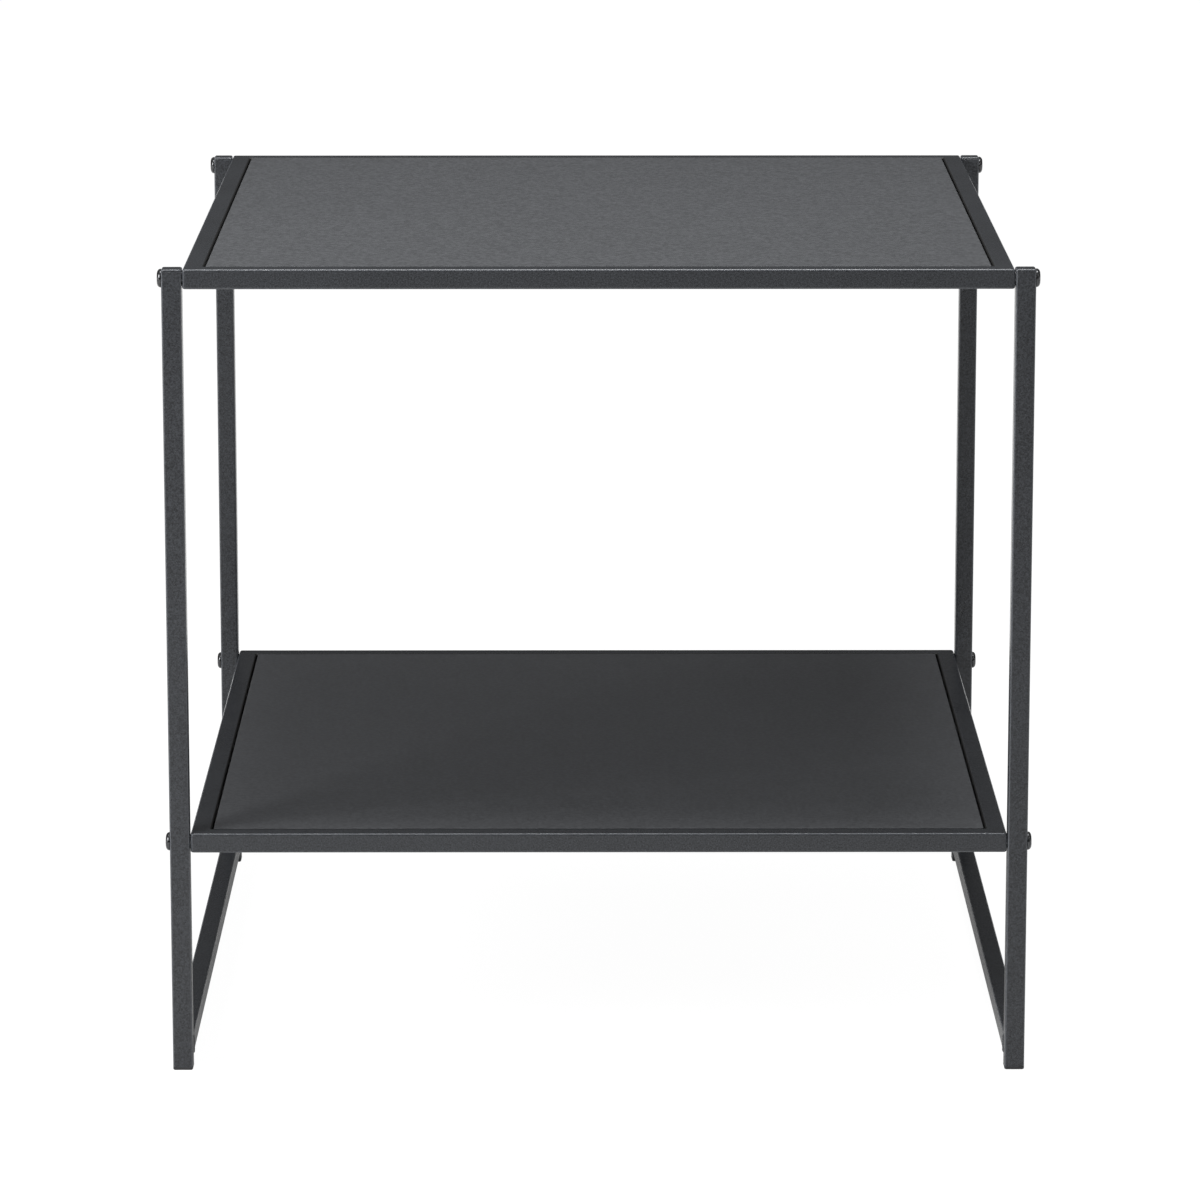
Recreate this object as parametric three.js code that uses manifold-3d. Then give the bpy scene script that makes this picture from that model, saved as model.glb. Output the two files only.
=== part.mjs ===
// Two-tier square side table, knocked down flat in its box and bolted together by its owner.
//
// Two U-shaped side frames (two legs and a low bar welded between them) stand left and right. Two
// mitred shelf frames sit between them, and each shelf frame is held by four button-head bolts that
// pass through the legs into flanged rivet nuts. A board drops into each shelf frame onto four corner tabs
// and is screwed to them from below. Nothing on the finished table moves.
//
// Units are millimetres. +X is right, +Y is back, +Z is up, and the origin is on the floor under the
// middle of the table.

import * as THREE from "three";
import { mergeVertices } from "three/addons/utils/BufferGeometryUtils.js";
import Module from "manifold-3d";

// ---- Driving dimensions ------------------------------------------------------------------------

const WIDTH = 559; // over the outer faces of the legs
const DEPTH = 559; // over the front and back faces of the legs
const HEIGHT = 531; // floor to the top of the legs, which is level with the top shelf
const LOWER_SHELF_TOP = 160; // floor to the top of the lower shelf frame
const LOW_BAR_LIFT = 8; // clearance under the low bars

const TUBE = 13; // square steel tube, outside
const TUBE_WALL = 1;
const TUBE_EDGE_RADIUS = 1.5;
const SHELF_CORNER_RADIUS = 2; // the ground and coated weld at each shelf frame corner
const LEG_TO_SHELF_GAP = 0.5; // held open by the rivet nuts' flanges

const BOARD_THICKNESS = 9;
const BOARD_GAP = 1.1; // all round, between a board and its frame; their tops are level
const BOARD_CORNER_RADIUS = 1;

const LEG_CAP_THICKNESS = 1.5;
const LEG_CAP_EDGE_RADIUS = 0.8;
const FOOT_THICKNESS = 2;
const FOOT_EDGE_RADIUS = 1;
const PLUG_DEPTH = 12; // how far a foot's plug reaches up into its leg
const PLUG_CLEARANCE = 0.1; // each side, between the plug's ribs and the tube
const PLUG_RIB = 0.3; // how far the ribs stand out from the plug
const PLUG_RIB_HEIGHTS = [3, 7]; // above the foot's pad
const PLUG_RIB_THICKNESS = 1;
const PLUG_WALL = 1.5;

const BOLT_LENGTH = 25; // M6, under the head
const BOLT_HEAD_RADIUS = 6;
const BOLT_HEAD_HEIGHT = 2.8;
const BOLT_HEAD_RIM = 0.5; // straight rim under the dome
const BOLT_HEAD_FLAT_RADIUS = 3.2;
const BOLT_DOME_STEPS = 4;
const BOLT_SOCKET_WIDTH = 4; // across flats of the hex socket
const BOLT_SOCKET_DEPTH = 1.9;
const BOLT_SHANK_RADIUS = 2.95;
const BOLT_POINT = 0.8; // chamfer at the shank's end
const BOLT_HOLE_RADIUS = 3.3; // through both walls of a leg

const NUT_RADIUS = 4.4; // rivet nut barrel
const NUT_HOLE_RADIUS = 4.55; // in the shelf frame's side rail
const NUT_BORE_RADIUS = 3.05; // runs on the bolt's thread
const NUT_FLANGE_RADIUS = 4.8; // between the leg and the shelf frame
const NUT_BULGE_RADIUS = 5.2; // the collapsed collar that grips the wall from inside
const NUT_BULGE_LENGTH = 2.2;
const NUT_BULGE_SLACK = 0.1; // between the collar and the wall
const NUT_LENGTH = 13;

const TAB_LEG = 34; // along each rail
const TAB_TIP = 4; // blunted ends
const TAB_THICKNESS = 1.5;
const TAB_SCREW_INSET = 11; // screw axis from both inner rail faces
const TAB_HOLE_RADIUS = 2;

const SCREW_HEAD_RADIUS = 3.5;
const SCREW_HEAD_HEIGHT = 1.9;
const SCREW_HEAD_BEVEL = 1; // how far the head narrows towards its outer face
const SCREW_SHANK_RADIUS = 1.5;
const SCREW_LENGTH = 8; // under the head
const SCREW_POINT = 2; // tapered tip
const SCREW_RECESS_WIDTH = 0.9; // of each slot of the cross
const SCREW_RECESS_SPAN = 3.8;
const SCREW_RECESS_DEPTH = 1.1;
const PILOT_RADIUS = 1.6;
const PILOT_DEPTH = 7;

const ROUND_EDGE_STEPS = 4; // straight steps round a quarter circle
const SMALL_ROUND_STEPS = 2; // the same for a small edge
const BOLT_SIDES = 16; // for bolts, rivet nuts and their holes
const SCREW_SIDES = 10; // for screws and their holes
const OVERSHOOT = 1; // how far a cutting tool runs past what it cuts

// ---- Derived dimensions ------------------------------------------------------------------------

const HALF_TUBE = TUBE / 2;
const LEG_X = WIDTH / 2 - HALF_TUBE; // leg axis from the middle
const LEG_Y = DEPTH / 2 - HALF_TUBE;
const SHELF_WIDTH = WIDTH - 2 * (TUBE + LEG_TO_SHELF_GAP);
const OPENING_WIDTH = SHELF_WIDTH - 2 * TUBE; // clear hole inside a shelf frame
const OPENING_DEPTH = DEPTH - 2 * TUBE;
const SHELF_TOPS = { top: HEIGHT, lower: LOWER_SHELF_TOP };
const TAB_UNDERSIDE = -BOARD_THICKNESS - TAB_THICKNESS; // from the shelf frame's top

// The shelf corners: their names, the side of the middle that they are on in X and Y, and the turn
// that takes the left front corner's tab onto each.
const CORNERS = [
  { name: "left_front", sx: -1, sy: -1, turn: 0 },
  { name: "right_front", sx: 1, sy: -1, turn: Math.PI / 2 },
  { name: "right_rear", sx: 1, sy: 1, turn: Math.PI },
  { name: "left_rear", sx: -1, sy: 1, turn: -Math.PI / 2 },
];

// ---- Finishes ----------------------------------------------------------------------------------

const STEEL = { color: 0x3a3b3d, roughness: 0.5, metalness: 0.3 };
const BOARD_FINISH = { color: 0x2e2f31, roughness: 0.55, metalness: 0 };
const BLACK_PLASTIC = { color: 0x151516, roughness: 0.6, metalness: 0 };
const BLACK_ZINC = { color: 0x232325, roughness: 0.35, metalness: 0.8 };
const PLAIN_ZINC = { color: 0xb4b6b8, roughness: 0.35, metalness: 1 };

// ---- Solid helpers -----------------------------------------------------------------------------

const wasm = await Module();
wasm.setup();

// A closed three.js geometry as a manifold solid, so that it can be cut and joined.
function solid(geometry) {
  const bare = geometry.clone();
  bare.deleteAttribute("normal");
  bare.deleteAttribute("uv");
  const merged = mergeVertices(bare, 1e-4);
  return new wasm.Manifold(
    new wasm.Mesh({
      numProp: 3,
      vertProperties: new Float32Array(merged.attributes.position.array),
      triVerts: new Uint32Array(merged.index.array),
    }),
  );
}

// A manifold solid back as a three.js geometry.
function geometryOf(body) {
  const mesh = body.getMesh();
  const indexed = new THREE.BufferGeometry()
    .setAttribute("position", new THREE.BufferAttribute(mesh.vertProperties, 3))
    .setIndex(new THREE.BufferAttribute(mesh.triVerts, 1));
  const flat = indexed.toNonIndexed();
  flat.computeVertexNormals();
  return flat;
}

function makeMesh(name, geometry, finish) {
  const mesh = new THREE.Mesh(geometry, new THREE.MeshStandardMaterial(finish));
  mesh.name = name;
  return mesh;
}

// A rectangle with rounded corners, centred on the origin.
function roundedRectangle(width, depth, radius) {
  const x = width / 2;
  const y = depth / 2;
  const outline = new THREE.Shape();
  outline.moveTo(x, radius - y);
  outline.absarc(x - radius, y - radius, radius, 0, Math.PI / 2, false);
  outline.absarc(radius - x, y - radius, radius, Math.PI / 2, Math.PI, false);
  outline.absarc(radius - x, radius - y, radius, Math.PI, 1.5 * Math.PI, false);
  outline.absarc(x - radius, radius - y, radius, 1.5 * Math.PI, 2 * Math.PI, false);
  return outline;
}

// A sharp-cornered square centred on the origin.
function square(size, Kind = THREE.Shape) {
  const half = size / 2;
  const outline = new Kind();
  outline.moveTo(half, -half);
  outline.lineTo(half, half);
  outline.lineTo(-half, half);
  outline.lineTo(-half, -half);
  outline.closePath();
  return outline;
}

// A shape raised from z = 0 to z = height.
function raise(shape, height, steps = ROUND_EDGE_STEPS) {
  return new THREE.ExtrudeGeometry(shape, { depth: height, bevelEnabled: false, curveSegments: steps });
}

// A length of the square tube standing on z = 0.
function tube(length) {
  const section = roundedRectangle(TUBE, TUBE, TUBE_EDGE_RADIUS);
  section.holes.push(square(TUBE - 2 * TUBE_WALL, THREE.Path));
  return raise(section, length);
}

// A round cutter of the given radius, centred at (x, y, z) and lying along X.
function crossDrill(radius, length, x, y, z) {
  return solid(
    new THREE.CylinderGeometry(radius, radius, length, BOLT_SIDES).rotateZ(Math.PI / 2).translate(x, y, z),
  );
}

// A turned piece on the Z axis from [radius, z] corners, listed from the bottom up on the outside.
function turned(corners, sides) {
  const profile = corners.map(([radius, z]) => new THREE.Vector2(radius, z));
  return new THREE.LatheGeometry(profile, sides).rotateX(Math.PI / 2);
}

// ---- Side frames -------------------------------------------------------------------------------

// A leg on its own axis with its foot at z = 0, drilled through along X for the two shelf bolts.
function legGeometry() {
  const length = HEIGHT - FOOT_THICKNESS - LEG_CAP_THICKNESS;
  let leg = solid(tube(length).translate(0, 0, FOOT_THICKNESS));
  for (const shelfTop of Object.values(SHELF_TOPS)) {
    const z = shelfTop - HALF_TUBE;
    leg = leg.subtract(crossDrill(BOLT_HOLE_RADIUS, TUBE + 2 * OVERSHOOT, 0, 0, z));
  }
  return geometryOf(leg);
}

// A plate of the tube's outline from z = 0 to z = thickness, its upper edges rounded. It is the upper
// half of a block that is rounded at both ends.
function roundedPlate(thickness, round) {
  const core = TUBE - 2 * round;
  const rounded = new THREE.ExtrudeGeometry(roundedRectangle(core, core, TUBE_EDGE_RADIUS - round), {
    depth: 2 * (thickness - round),
    bevelSize: round,
    bevelThickness: round,
    bevelSegments: SMALL_ROUND_STEPS,
    curveSegments: SMALL_ROUND_STEPS,
  });
  rounded.translate(0, 0, round - thickness);
  return solid(rounded).intersect(solid(raise(square(2 * TUBE), 2 * thickness)));
}

// The steel plate welded over the open top of a leg, its upper edges ground round.
function legCapGeometry() {
  return geometryOf(roundedPlate(LEG_CAP_THICKNESS, LEG_CAP_EDGE_RADIUS));
}

// A moulded foot: a round-edged pad under the leg and a ribbed, hollow plug pushed up into it.
function footGeometry() {
  const ribSize = TUBE - 2 * TUBE_WALL - 2 * PLUG_CLEARANCE;
  const plugSize = ribSize - 2 * PLUG_RIB;
  const pad = geometryOf(roundedPlate(FOOT_THICKNESS, FOOT_EDGE_RADIUS)).rotateX(Math.PI);
  const plug = raise(square(plugSize), PLUG_DEPTH + FOOT_THICKNESS / 2);
  let foot = solid(pad.translate(0, 0, FOOT_THICKNESS));
  foot = foot.add(solid(plug.translate(0, 0, FOOT_THICKNESS / 2)));
  for (const ribHeight of PLUG_RIB_HEIGHTS) {
    const rib = raise(square(ribSize), PLUG_RIB_THICKNESS);
    foot = foot.add(solid(rib.translate(0, 0, FOOT_THICKNESS + ribHeight)));
  }
  const hollow = raise(square(plugSize - 2 * PLUG_WALL), PLUG_DEPTH + OVERSHOOT);
  return geometryOf(foot.subtract(solid(hollow.translate(0, 0, FOOT_THICKNESS))));
}

// One side frame on its own centre line: the front leg at -Y, the rear leg at +Y, the low bar between.
function sideFrame(side, shared) {
  const frame = new THREE.Group();
  for (const [end, y] of [["front", -LEG_Y], ["rear", LEG_Y]]) {
    const leg = makeMesh(`${side}_${end}_leg`, shared.leg, STEEL);
    const cap = makeMesh(`${side}_${end}_leg_cap`, shared.legCap, STEEL);
    const foot = makeMesh(`${side}_${end}_foot`, shared.foot, BLACK_PLASTIC);
    cap.position.z = HEIGHT - LEG_CAP_THICKNESS;
    const corner = new THREE.Group();
    corner.position.y = y;
    corner.add(leg, cap, foot);
    frame.add(corner);
  }
  const barLength = 2 * (LEG_Y - HALF_TUBE);
  const bar = makeMesh(`${side}_low_bar`, tube(barLength).rotateX(-Math.PI / 2), STEEL);
  bar.position.set(0, -barLength / 2, LOW_BAR_LIFT + HALF_TUBE);
  frame.add(bar);
  return frame;
}

// ---- Shelf frames ------------------------------------------------------------------------------

// The plan outline of a whole shelf frame, as tall as the tube, with its corners rounded.
function shelfBlock() {
  const outline = roundedRectangle(SHELF_WIDTH, DEPTH, SHELF_CORNER_RADIUS);
  return solid(raise(outline, TUBE).translate(0, 0, -TUBE));
}

// A rail of the given length along X whose outer face is at y = -reach, with 45 degree ends.
function mitredRail(length, reach) {
  const rail = tube(length).rotateY(Math.PI / 2);
  rail.translate(-length / 2, HALF_TUBE - reach, -HALF_TUBE);
  const outline = new THREE.Shape();
  outline.moveTo(-length / 2, -reach);
  outline.lineTo(length / 2, -reach);
  outline.lineTo(length / 2 - TUBE, TUBE - reach);
  outline.lineTo(TUBE - length / 2, TUBE - reach);
  outline.closePath();
  return solid(rail).intersect(solid(raise(outline, TUBE).translate(0, 0, -TUBE)));
}

function frontRailGeometry() {
  return geometryOf(mitredRail(SHELF_WIDTH, DEPTH / 2).intersect(shelfBlock()));
}

// The left rail, drilled in its outer wall for a rivet nut near each end.
function leftRailGeometry() {
  const turnedRail = geometryOf(mitredRail(DEPTH, SHELF_WIDTH / 2)).rotateZ(-Math.PI / 2);
  let rail = solid(turnedRail).intersect(shelfBlock());
  for (const y of [-LEG_Y, LEG_Y]) {
    rail = rail.subtract(crossDrill(NUT_HOLE_RADIUS, TUBE, -SHELF_WIDTH / 2, y, -HALF_TUBE));
  }
  return geometryOf(rail);
}

// A corner tab: a blunted triangle whose square corner sits in the frame's inside corner at (0, 0).
function tabGeometry() {
  const outline = new THREE.Shape();
  outline.moveTo(0, 0);
  outline.lineTo(TAB_LEG, 0);
  outline.lineTo(TAB_LEG, TAB_TIP);
  outline.lineTo(TAB_TIP, TAB_LEG);
  outline.lineTo(0, TAB_LEG);
  outline.closePath();
  const hole = new THREE.Path();
  hole.absarc(TAB_SCREW_INSET, TAB_SCREW_INSET, TAB_HOLE_RADIUS, 0, 2 * Math.PI, true);
  outline.holes.push(hole);
  return raise(outline, TAB_THICKNESS, SCREW_SIDES / 2);
}

// The board with its four blind pilot holes, its top face at z = 0.
function boardGeometry() {
  const width = OPENING_WIDTH - 2 * BOARD_GAP;
  const depth = OPENING_DEPTH - 2 * BOARD_GAP;
  const outline = roundedRectangle(width, depth, BOARD_CORNER_RADIUS);
  const panel = raise(outline, BOARD_THICKNESS, SMALL_ROUND_STEPS);
  let board = solid(panel.translate(0, 0, -BOARD_THICKNESS));
  for (const corner of CORNERS) {
    const { x, y } = screwPlace(corner);
    const length = PILOT_DEPTH + OVERSHOOT;
    const pilot = new THREE.CylinderGeometry(PILOT_RADIUS, PILOT_RADIUS, length, SCREW_SIDES);
    pilot.rotateX(Math.PI / 2);
    pilot.translate(x, y, PILOT_DEPTH - length / 2 - BOARD_THICKNESS);
    board = board.subtract(solid(pilot));
  }
  return geometryOf(board);
}

// Where the screw of a shelf corner stands in plan.
function screwPlace({ sx, sy }) {
  return {
    x: sx * (OPENING_WIDTH / 2 - TAB_SCREW_INSET),
    y: sy * (OPENING_DEPTH / 2 - TAB_SCREW_INSET),
  };
}

// One shelf: four rails, four tabs, four rivet nuts, the board and its four screws. The frame's top
// is at z = 0 of the group.
function shelf(level, shared) {
  const group = new THREE.Group();
  const front = makeMesh(`${level}_front_rail`, shared.frontRail, STEEL);
  const rear = makeMesh(`${level}_rear_rail`, shared.frontRail, STEEL);
  const left = makeMesh(`${level}_left_rail`, shared.leftRail, STEEL);
  const right = makeMesh(`${level}_right_rail`, shared.leftRail, STEEL);
  rear.rotation.z = Math.PI;
  right.rotation.z = Math.PI;
  const board = makeMesh(`${level}_board`, shared.board, BOARD_FINISH);
  group.add(front, rear, left, right, board);
  for (const corner of CORNERS) {
    const { name, sx, sy, turn } = corner;
    const inward = sx < 0 ? 0 : Math.PI; // turns +X towards the middle of the table
    const tab = makeMesh(`${level}_tab_${name}`, shared.tab, STEEL);
    tab.position.set((sx * OPENING_WIDTH) / 2, (sy * OPENING_DEPTH) / 2, TAB_UNDERSIDE);
    tab.rotation.z = turn;
    const screw = makeMesh(`${level}_board_screw_${name}`, shared.screw, PLAIN_ZINC);
    const { x, y } = screwPlace(corner);
    screw.position.set(x, y, TAB_UNDERSIDE);
    const nut = makeMesh(`${level}_rivet_nut_${name}`, shared.rivetNut, PLAIN_ZINC);
    nut.position.set((sx * SHELF_WIDTH) / 2, sy * LEG_Y, -HALF_TUBE);
    nut.rotation.z = inward;
    const bolt = makeMesh(`${level}_bolt_${name}`, shared.bolt, BLACK_ZINC);
    bolt.position.set((sx * WIDTH) / 2, sy * LEG_Y, -HALF_TUBE);
    bolt.rotation.z = inward;
    group.add(tab, screw, nut, bolt);
  }
  return group;
}

// ---- Fasteners ---------------------------------------------------------------------------------

// A button-head bolt lying along +X, its head's seat at x = 0 and its head on the -X side.
function boltGeometry() {
  // The dome's side view is a quarter of an ellipse, from the rim in to the flat round the socket.
  const run = BOLT_HEAD_RADIUS - BOLT_HEAD_FLAT_RADIUS;
  const rise = BOLT_HEAD_HEIGHT - BOLT_HEAD_RIM;
  const dome = [];
  for (let i = 0; i <= BOLT_DOME_STEPS; i++) {
    const angle = ((Math.PI / 2) * i) / BOLT_DOME_STEPS;
    dome.push([BOLT_HEAD_FLAT_RADIUS + run * Math.cos(angle), BOLT_HEAD_RIM + rise * Math.sin(angle)]);
  }
  const outside = [
    [0, -BOLT_LENGTH],
    [BOLT_SHANK_RADIUS - BOLT_POINT, -BOLT_LENGTH],
    [BOLT_SHANK_RADIUS, BOLT_POINT - BOLT_LENGTH],
    [BOLT_SHANK_RADIUS, 0],
    [BOLT_HEAD_RADIUS - BOLT_HEAD_RIM / 2, 0], // a small bevel under the rim
    [BOLT_HEAD_RADIUS, BOLT_HEAD_RIM / 2],
    ...dome,
    [0, BOLT_HEAD_HEIGHT],
  ];
  const socketRadius = BOLT_SOCKET_WIDTH / 2 / Math.cos(Math.PI / 6);
  const socket = new THREE.CylinderGeometry(socketRadius, socketRadius, 2 * BOLT_SOCKET_DEPTH, 6);
  socket.rotateX(Math.PI / 2).translate(0, 0, BOLT_HEAD_HEIGHT);
  const bolt = solid(turned(outside, BOLT_SIDES)).subtract(solid(socket));
  return geometryOf(bolt).rotateY(-Math.PI / 2);
}

// A rivet nut lying along +X, its flange standing on the outside of the rail at x = 0.
function rivetNutGeometry() {
  const collar = -TUBE_WALL - NUT_BULGE_SLACK;
  const section = [
    [NUT_BORE_RADIUS, LEG_TO_SHELF_GAP],
    [NUT_BORE_RADIUS, -NUT_LENGTH],
    [NUT_RADIUS, -NUT_LENGTH],
    [NUT_RADIUS, collar - NUT_BULGE_LENGTH],
    [NUT_BULGE_RADIUS, collar - NUT_BULGE_LENGTH / 2],
    [NUT_BULGE_RADIUS, collar],
    [NUT_RADIUS, collar],
    [NUT_RADIUS, 0],
    [NUT_FLANGE_RADIUS, 0],
    [NUT_FLANGE_RADIUS, LEG_TO_SHELF_GAP],
    [NUT_BORE_RADIUS, LEG_TO_SHELF_GAP],
  ];
  return turned(section, BOLT_SIDES).rotateY(-Math.PI / 2);
}

// A pan-head screw pointing up, its head's seat at z = 0.
function screwGeometry() {
  const outside = [
    [0, -SCREW_HEAD_HEIGHT],
    [SCREW_HEAD_RADIUS - SCREW_HEAD_BEVEL, -SCREW_HEAD_HEIGHT],
    [SCREW_HEAD_RADIUS, -SCREW_HEAD_HEIGHT / 2],
    [SCREW_HEAD_RADIUS, 0],
    [SCREW_SHANK_RADIUS, 0],
    [SCREW_SHANK_RADIUS, SCREW_LENGTH - SCREW_POINT],
    [0, SCREW_LENGTH],
  ];
  let screw = solid(turned(outside, SCREW_SIDES));
  for (const turn of [0, Math.PI / 2]) {
    const slot = new THREE.BoxGeometry(SCREW_RECESS_SPAN, SCREW_RECESS_WIDTH, 2 * SCREW_RECESS_DEPTH);
    slot.rotateZ(turn).translate(0, 0, -SCREW_HEAD_HEIGHT);
    screw = screw.subtract(solid(slot));
  }
  return geometryOf(screw);
}

// ---- The table ---------------------------------------------------------------------------------

const shared = {
  leg: legGeometry(),
  legCap: legCapGeometry(),
  foot: footGeometry(),
  frontRail: frontRailGeometry(),
  leftRail: leftRailGeometry(),
  board: boardGeometry(),
  tab: tabGeometry(),
  bolt: boltGeometry(),
  rivetNut: rivetNutGeometry(),
  screw: screwGeometry(),
};

const table = new THREE.Group();
for (const [side, x] of [["left", -LEG_X], ["right", LEG_X]]) {
  const frame = sideFrame(side, shared);
  frame.position.x = x;
  table.add(frame);
}
for (const [level, top] of Object.entries(SHELF_TOPS)) {
  const shelfGroup = shelf(level, shared);
  shelfGroup.position.z = top;
  table.add(shelfGroup);
}

export default table;
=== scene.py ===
"""The looks of a two-tier square side table: coated tube, boards, bolts, nuts, screws and feet.

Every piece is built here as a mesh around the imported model, which gives all the places. Lengths are
in millimetres until a mesh is made; Blender's own units are metres. +X is right, +Y is back, +Z is
up.
"""

import math

import bmesh
import bpy
from mathutils import Matrix, Vector


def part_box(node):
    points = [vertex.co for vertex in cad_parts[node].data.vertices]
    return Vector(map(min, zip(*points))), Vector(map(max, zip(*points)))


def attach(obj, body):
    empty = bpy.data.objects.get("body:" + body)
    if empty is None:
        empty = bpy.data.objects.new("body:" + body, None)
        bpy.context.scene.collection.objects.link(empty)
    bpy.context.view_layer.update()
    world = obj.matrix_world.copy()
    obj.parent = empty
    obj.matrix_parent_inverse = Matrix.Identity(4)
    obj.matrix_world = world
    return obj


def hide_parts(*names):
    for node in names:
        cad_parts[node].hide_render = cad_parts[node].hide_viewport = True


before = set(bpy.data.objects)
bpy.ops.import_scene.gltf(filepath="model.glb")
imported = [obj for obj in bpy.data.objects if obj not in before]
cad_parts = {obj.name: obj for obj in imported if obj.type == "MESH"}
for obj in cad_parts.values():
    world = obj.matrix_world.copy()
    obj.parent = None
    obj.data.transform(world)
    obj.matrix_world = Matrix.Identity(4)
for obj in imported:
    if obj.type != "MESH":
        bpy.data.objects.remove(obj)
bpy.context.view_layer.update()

MM = 0.001

# ---- Dimensions, in millimetres ----------------------------------------------------------------

TUBE_EDGE_RADIUS = 1.5
TUBE_WALL = 1.0
TUBE_INNER_RADIUS = 0.6
TUBE_END_EASE = 0.25  # the coated, eased edge at a tube's cut end
SHELF_CORNER_RADIUS = 2.0  # the ground weld at each corner of a shelf frame

LEG_TOP_ROUND = 1.25
FOOT_ROUND = 1.0
PLUG_WALL = 1.5
PLUG_RIB = 0.3
PLUG_CLEARANCE = 0.1
PLUG_RIB_BOTTOMS = (3.0, 7.0)  # above the foot's pad
PLUG_RIB_HEIGHT = 1.0
PLUG_RIB_FLAT = (0.2, 0.7)  # where a rib's outer face starts and ends, above the rib's bottom
PLUG_EDGE_RADIUS = 0.4
PLUG_INNER_RADIUS = 0.3
PLUG_LEAD_IN = 0.6
FOOT_UPPER_EASE = 0.15

BOARD_ARRIS = 0.9  # the eased edge of a board
ARRIS_BEND = 0.3  # where an eased edge bends, as a share of its width
BOARD_CORNER_RADIUS = 1.0
TAB_ARRIS = 0.2
TAB_CORNER_RADIUS = 1.0
TAB_TIP = 4.0
PILOT_RADIUS = 1.6
PILOT_DEPTH = 7.0
TAB_HOLE_RADIUS = 2.0

BOLT_HEAD_RIM = 0.5
BOLT_HEAD_HEIGHT = 2.8
BOLT_HEAD_FLAT_RADIUS = 3.2
BOLT_HEAD_RADIUS = 6.0
BOLT_FACE_INNER_RADIUS = 2.6  # clear of the socket's corners
BOLT_THREAD_RADIUS = 2.95
BOLT_THREAD_DEPTH = 0.55
BOLT_PITCH = 1.0
BOLT_POINT = 1.0
BOLT_HOLE_RADIUS = 3.3
BOLT_TURN = 23  # degrees, so that no two sockets line up
SOCKET_ACROSS_FLATS = 4.0
SOCKET_DEPTH = 1.9
SOCKET_CONE = 0.3
SOCKET_TIP_RADIUS = 0.1

NUT_HOLE_RADIUS = 4.55
NUT_BARREL_RADIUS = 4.4
NUT_BORE_RADIUS = 3.05
NUT_FLANGE_RADIUS = 4.8
NUT_BULGE_RADIUS = 5.2
NUT_BULGE_START = 1.1
NUT_BULGE_LENGTH = 2.2
NUT_KNURL_DEPTH = 0.15

THREAD_NECK = 0.4  # plain shank under the head
POINT_SHARPNESS = 0.8

SCREW_HEAD_HEIGHT = 1.9
SCREW_HEAD_RADIUS = 3.5
SCREW_HEAD_FACE_RADIUS = 2.3
SCREW_THREAD_RADIUS = 1.5
SCREW_THREAD_DEPTH = 0.4
SCREW_PITCH = 1.25
SCREW_POINT = 2.4
SCREW_FACE_STEPS = 8
SCREW_RIM = 0.5  # straight rim under the head's dome
SCREW_TURN = 17  # degrees, so that no two recesses of a shelf line up
RECESS_WIDTH = 0.9
RECESS_SPAN = 3.8
RECESS_DEPTH = 1.1

BEAD_RADIUS = 1.1  # of the weld beads
BEAD_RIPPLE = 0.16  # how much of the radius a ripple takes up
BEAD_PITCH = 1.7
BEAD_END_STEPS = 4  # over which an open bead's end tapers
BEAD_END_SHARE = 0.35  # how much of the radius is left at the very end
BEAD_SINK = 0.35  # how far a low bar's bead sits in from the bar's faces
TAB_BEAD_SINK = 0.25  # how far a tab's bead sits in from the tab's corner with the rail
TAB_BEAD_START = 7.0  # from the tab's square corner
TAB_BEAD_MARGIN = 8.0  # short of the tab's end

# ---- How finely curves are cut -----------------------------------------------------------------

CORNER_STEPS = 8  # round a quarter of a tube's edge
ROUND_STEPS = 6
DOME_STEPS = 14
MITRE_STEPS = 8
BOLT_SIDES = 48
THREAD_RINGS = 6  # to each turn of a thread
SCREW_SIDES = 32
BEAD_SIDES = 12
BEAD_RINGS = 6  # to each ripple
SMOOTH_ANGLE = math.radians(32)
SMALLEST_RADIUS = 0.02
LEVEL_ENOUGH = 0.9  # how upright a board's face must point to take a face's finish, not the edge's
PAINTED_SHADE_FACE_INWARD = 0.4  # how far a rail's face must turn towards the board to be in the gap and take its painted shade
PAINTED_SHADE_FACE_LOWEST = -0.3  # how far down it may turn and still take the gap's painted shade
OVERSHOOT = 1.0  # how far a cutting tool runs past what it cuts

CORNERS = {
    "left_front": (-1, -1),
    "right_front": (1, -1),
    "right_rear": (1, 1),
    "left_rear": (-1, 1),
}
LEVELS = ("top", "lower")


def box_mm(node):
    """Lowest and highest corner of a CAD node, in millimetres."""
    low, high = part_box(node)
    return low / MM, high / MM


def middle_mm(node):
    low, high = box_mm(node)
    return (low + high) / 2


# ---- Materials ---------------------------------------------------------------------------------


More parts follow.
